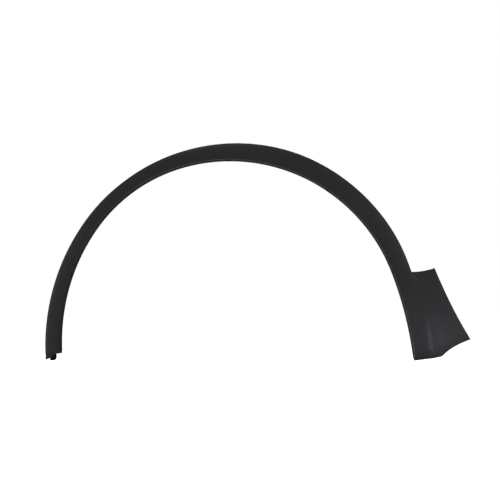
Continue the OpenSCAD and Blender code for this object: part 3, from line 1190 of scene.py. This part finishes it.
@dataclass(frozen=True)
class Moulding:
    """The one-piece moulding: its skin and everything moulded behind the face."""

    grained: MouldedBlack = MouldedBlack()
    matte: MattePaintedLightBlack = MattePaintedLightBlack()
    polished: PolishedBlack = PolishedBlack()
    hook_painted_shade_finish: ShadedHookBlack = ShadedHookBlack()
    lap: FrontLap = FrontLap()
    tower: ClipTower = ClipTower()
    web: Web = Web()
    boss: ScrewBoss = ScrewBoss()
    pin: LocatingPin = LocatingPin()
    clip_dirs: tuple[float, ...] = (84, 60, 38, 16, -11, -36, -60)
    rib_dirs: tuple[float, ...] = (89, 77, 66, 54, 44, 31, 22, 8, -5, -18, -29, -43, -53, -66)
    screw_dirs: tuple[float, ...] = (70, 35, 0, -35, -66)
    pin_dirs: tuple[float, ...] = (50, -23)
    foot_webs: tuple[float, ...] = (0.14, 0.5, 0.86)
    foot_clip_shares: tuple[float, ...] = (0.36, 0.3)
    clip_share: float = 0.5

    def build(self) -> None:
        """Builds and dresses every piece of the moulding."""
        grained = self.grained.material()
        polished = self.polished.material()
        # The flange and bosses get the matte finish with painted light.
        matte = self.matte.material()
        skin = self._emit("moulding_skin", MouldingSkin().build(), grained, matte)
        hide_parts("arch_moulding")
        self._drill(skin)
        self._emit("front_lap", self.lap.lap(), grained)
        # The hook gets the finish with painted shade.
        self._emit("front_hook", self.lap.hook(), self.hook_painted_shade_finish.material())
        self._emit("clip_towers", self._towers(), polished)
        self._emit("stiffening_webs", self._webs(), polished)
        self._emit("screw_bosses", in_row(self.boss.add, self.screw_dirs), matte)
        self._emit("locating_pins", in_row(self.pin.add, self.pin_dirs), polished)

    def _emit(self, name: str, mesh: BMesh, *finishes: Material) -> Object:
        """Turns a mesh into a piece that rides on the part's body.

        Args:
            name: The piece's name.
            mesh: Its geometry, already in place. It is freed.
            finishes: Its materials, in the order of its faces' numbers.

        Returns:
            The new object.
        """
        bmesh.ops.recalc_face_normals(mesh, faces=mesh.faces)
        data = as_data(name, mesh)
        data.shade_smooth()
        data.set_sharp_from_angle(angle=SHARP_ANGLE)
        for finish in finishes:
            data.materials.append(finish)
        piece = add_object(name, data)
        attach(piece, ROOT)
        LOG.info("%s: %d faces", name, len(data.polygons))
        return piece

    def _drill(self, skin: Object) -> None:
        """Cuts the screw holes through the return flange.

        Args:
            skin: The moulding's skin.
        """
        rods = in_row(self.boss.cutter, self.screw_dirs)
        bmesh.ops.recalc_face_normals(rods, faces=rods.faces)
        cutter = add_object("screw_holes", as_data("screw_holes", rods))
        cut = skin.modifiers.new("screw holes", "BOOLEAN")
        cut.operation = "DIFFERENCE"
        cut.solver = "EXACT"
        cut.object = cutter
        bpy.context.view_layer.update()
        cut_skin = skin.evaluated_get(bpy.context.evaluated_depsgraph_get())
        drilled = bpy.data.meshes.new_from_object(cut_skin)
        skin.modifiers.clear()
        skin.data = drilled
        drilled.set_sharp_from_angle(angle=SHARP_ANGLE)
        bpy.data.objects.remove(cutter)

    def _towers(self) -> BMesh:
        """Builds the towers along the band, and those on the foot, midway between two webs.

        Returns:
            Their mesh.
        """
        mesh = bmesh.new()
        for direction in self.clip_dirs:
            self.tower.add(mesh, *FORM.behind_band(direction, self.clip_share))
        for share, above, below in zip(self.foot_clip_shares, self.foot_webs, self.foot_webs[1:]):
            self.tower.add(mesh, *FORM.behind_foot(share, (above + below) / 2))
        return mesh

    def _webs(self) -> BMesh:
        """Builds the webs across the band, and those across the foot in two lengths.

        Returns:
            Their mesh.
        """
        half_wall = FORM.band.wall / 2
        mesh = bmesh.new()
        for direction in self.rib_dirs:
            side = half_wall / FORM.band.width(direction)
            ends = (FORM.band_point(direction, side), FORM.band_point(direction, 1 - side))
            self.web.add(mesh, ends, lambda share: FORM.band_level(mix(side, 1 - side, share)))
        for drop in self.foot_webs:
            direction = FORM.opening.leg_direction(drop)
            side = half_wall / FORM.band.width(direction)
            ends = (FORM.band_point(direction, side), FORM.band_point(direction, 1 + side))
            self.web.add(mesh, ends, lambda share: FORM.band_level(mix(side, 1, share), drop))
            self._web_past_crease(mesh, drop)
        return mesh

    def _web_past_crease(self, mesh: BMesh, drop: float) -> None:
        """Adds the length of a foot's web from the crease to the rear lip.

        Args:
            mesh: Mesh that takes it.
            drop: How far down the foot it lies.
        """
        crease = FORM.foot_point(0, drop)
        lip = 1 - FORM.band.wall / 2 / (FORM.foot_point(1, drop) - crease).length
        at_crease = min(FORM.band_level(1, drop), FORM.foot_level(0, drop))

        def level(share: float) -> float:
            """Returns the face's height, which at the crease is the lower of its two heights."""
            return FORM.foot_level(lip * share, drop) if share > 0 else at_crease

        self.web.add(mesh, (crease, FORM.foot_point(lip, drop)), level)


def background_rays(graph: Graph) -> Field:
    """Tells which rays show the background: straight ones, reflected ones and those through glass.

    Args:
        graph: Node tree of the floor or the world.

    Returns:
        1 for those rays and 0 for the rest.
    """
    rays = graph.node("ShaderNodeLightPath", {}).outputs
    kinds = ("Is Camera Ray", "Is Glossy Ray", "Is Transmission Ray")
    seen, mirrored, through = (Field(graph, rays[kind]) for kind in kinds)
    return seen.larger(mirrored).larger(through)


def stand(name: str, size: float, place: Matrix, finish: Material) -> Object:
    """Adds a flat square of the studio, such as the floor or a card.

    Args:
        name: Its name.
        size: Its width.
        place: The matrix that places it.
        finish: Its material.

    Returns:
        The new object, which isn't part of the trim.
    """
    mesh = bmesh.new()
    bmesh.ops.create_grid(mesh, x_segments=1, y_segments=1, size=size / 2, matrix=place)
    data = as_data(name, mesh)
    data.materials.append(finish)
    made = add_object(name, data)
    return made


@dataclass(frozen=True)
class PaleFloor:
    """Pale studio floor, far below the trim, which shows near white."""

    dark: Colour = (0.887, 0.887, 0.887)
    light: Colour = (0.9, 0.9, 0.9)
    roughness: float = 1.0
    speck: Noise = Noise(3.0, 2.0, 0.5)
    glow: float = 0.74
    level: float = -0.72
    size: float = 24.0

    def material(self) -> Material:
        """Builds the floor's finish, which adds a glow for the rays that show the background.

        Returns:
            The material.
        """
        made, graph = blank_material("pale_floor")
        colour = graph.blend(graph.noise(self.speck), self.dark, self.light)
        paper = graph.surface(colour, self.roughness, 0.0)
        glow = graph.node("ShaderNodeEmission", {"Color": WHITE, "Strength": self.glow})
        lit = graph.node("ShaderNodeAddShader", {0: paper.outputs[0], 1: glow.outputs[0]})
        shaders = {0: background_rays(graph), 1: paper.outputs[0], 2: lit.outputs[0]}
        graph.show(graph.node("ShaderNodeMixShader", shaders))
        return made

    def build(self) -> None:
        """Lays the floor, as far below the trim as the road is below the wing."""
        stand("floor", self.size, Matrix.Translation((0.0, 0.0, self.level)), self.material())


class LampKind(Enum):
    """Kinds of studio lamp."""

    SOFT = "AREA"
    ACCENT = "SPOT"


@dataclass(frozen=True)
class Lamp:
    """Studio lamp: a square soft lamp, or an accent lamp whose narrow cone lights one place."""

    name: str
    kind: LampKind
    place: Place
    size: float
    power: float
    aim: Place = TRIM_MIDDLE
    cone: float = 0.0
    tint: Colour = (1.0, 1.0, 1.0)
    cone_fade: float = 0.9

    def build(self) -> None:
        """Hangs the lamp and turns it to what it lights."""
        data = bpy.data.lights.new(self.name, self.kind.value)
        data.energy = self.power
        data.color = self.tint
        if self.kind is LampKind.SOFT:
            data.shape = "SQUARE"
            data.size = self.size
        else:
            data.shadow_soft_size = self.size / 2
            data.spot_size = math.radians(self.cone)
            data.spot_blend = self.cone_fade
        lamp = add_object(self.name, data)
        lamp.visible_camera = False
        lamp.location = self.place
        look = Vector(self.aim) - Vector(self.place)
        lamp.rotation_euler = look.to_track_quat("-Z", "Y").to_euler()


@dataclass(frozen=True)
class DarkCard:
    """Dark felt card near the trim, which only shows in what the plastic reflects."""

    name: str
    place: Place
    aim: Place
    size: float
    tone: float = 0.02
    nap_depth: float = 0.2
    roughness: float = 1.0
    nap: Noise = Noise(40.0, 2.0, 0.5)

    def material(self) -> Material:
        """Builds the card's felt.

        Returns:
            The material.
        """
        made, graph = blank_material(self.name)
        light = (self.tone,) * 3
        dark = (self.tone * (1 - self.nap_depth),) * 3
        colour = graph.blend(graph.noise(self.nap), dark, light)
        graph.show(graph.surface(colour, self.roughness, 0.0))
        return made

    def build(self) -> None:
        """Stands the card up, square to its aim."""
        look = (Vector(self.aim) - Vector(self.place)).to_track_quat("Z", "Y")
        place = Matrix.Translation(self.place) @ look.to_matrix().to_4x4()
        card = stand(self.name, self.size, place, self.material())
        card.visible_camera = False
        card.visible_diffuse = False
        card.visible_shadow = False
        card.visible_transmission = False


@dataclass(frozen=True)
class Studio:
    """Floor, lamps, cards, world and camera."""

    sky: float = 0.30
    camera_place: Place = (0.0488, -2.6231, -0.2025)
    pixel: float = 0.00225
    distance: float = 2.6
    image: int = 500
    floor: PaleFloor = PaleFloor()
    lamps: tuple[Lamp, ...] = (
        Lamp("key_lamp", LampKind.SOFT, (-0.8, -2.2, 2.8), 1.6, 61.0),
        Lamp("left_lamp", LampKind.SOFT, (-3.2, -1.2, 0.1), 1.6, 38.0),
        Lamp("fill_lamp", LampKind.SOFT, (2.2, -2.4, 0.6), 1.6, 50.0),
        Lamp(
            "foot_lamp", LampKind.ACCENT, (-0.15, -1.2, -0.36), 0.2, 100.0,
            aim=(0.54, 0.0, -0.43), cone=13.0, tint=(1.0, 0.97, 1.2),
        ),
        Lamp("back_lamp", LampKind.SOFT, (0.1, 2.4, 1.5), 1.6, 80.0),
    )
    cards: tuple[DarkCard, ...] = (
        DarkCard("right_card", (2.2, 0.4, -0.2), TRIM_MIDDLE, 3.0),
        DarkCard("foot_card", (0.45, 0.0, -0.70), (0.45, 0.0, 0.0), 0.6, 0.04),
    )

    def build(self) -> None:
        """Builds the studio."""
        bpy.context.scene.view_settings.view_transform = "Standard"
        self.floor.build()
        for piece in self.lamps + self.cards:
            piece.build()
        self._world()
        self._camera()

    def _world(self) -> None:
        """Gives the world a white background and a plain soft light."""
        world = bpy.data.worlds.new("studio")
        world.use_nodes = True
        bpy.context.scene.world = world
        graph = Graph(world.node_tree)
        strength = self.sky + background_rays(graph) * (1.0 - self.sky)
        shine = graph.node("ShaderNodeBackground", {"Color": WHITE, "Strength": strength})
        graph.show(shine, "ShaderNodeOutputWorld")

    def _camera(self) -> None:
        """Points the camera along +Y, square to the trim, as the photograph does."""
        data = bpy.data.cameras.new("camera")
        data.lens = data.sensor_width * self.distance / (self.pixel * self.image)
        data.dof.use_dof = False
        camera = add_object("camera", data)
        camera.location = self.camera_place
        camera.rotation_euler = (math.radians(90), 0.0, 0.0)
        bpy.context.scene.camera = camera


def main() -> None:
    """Builds the dressed trim and the studio."""
    logging.basicConfig(level=logging.INFO, format="%(message)s")
    Moulding().build()
    PushInClips().dress()
    Studio().build()


if __name__ == "__main__":
    main()
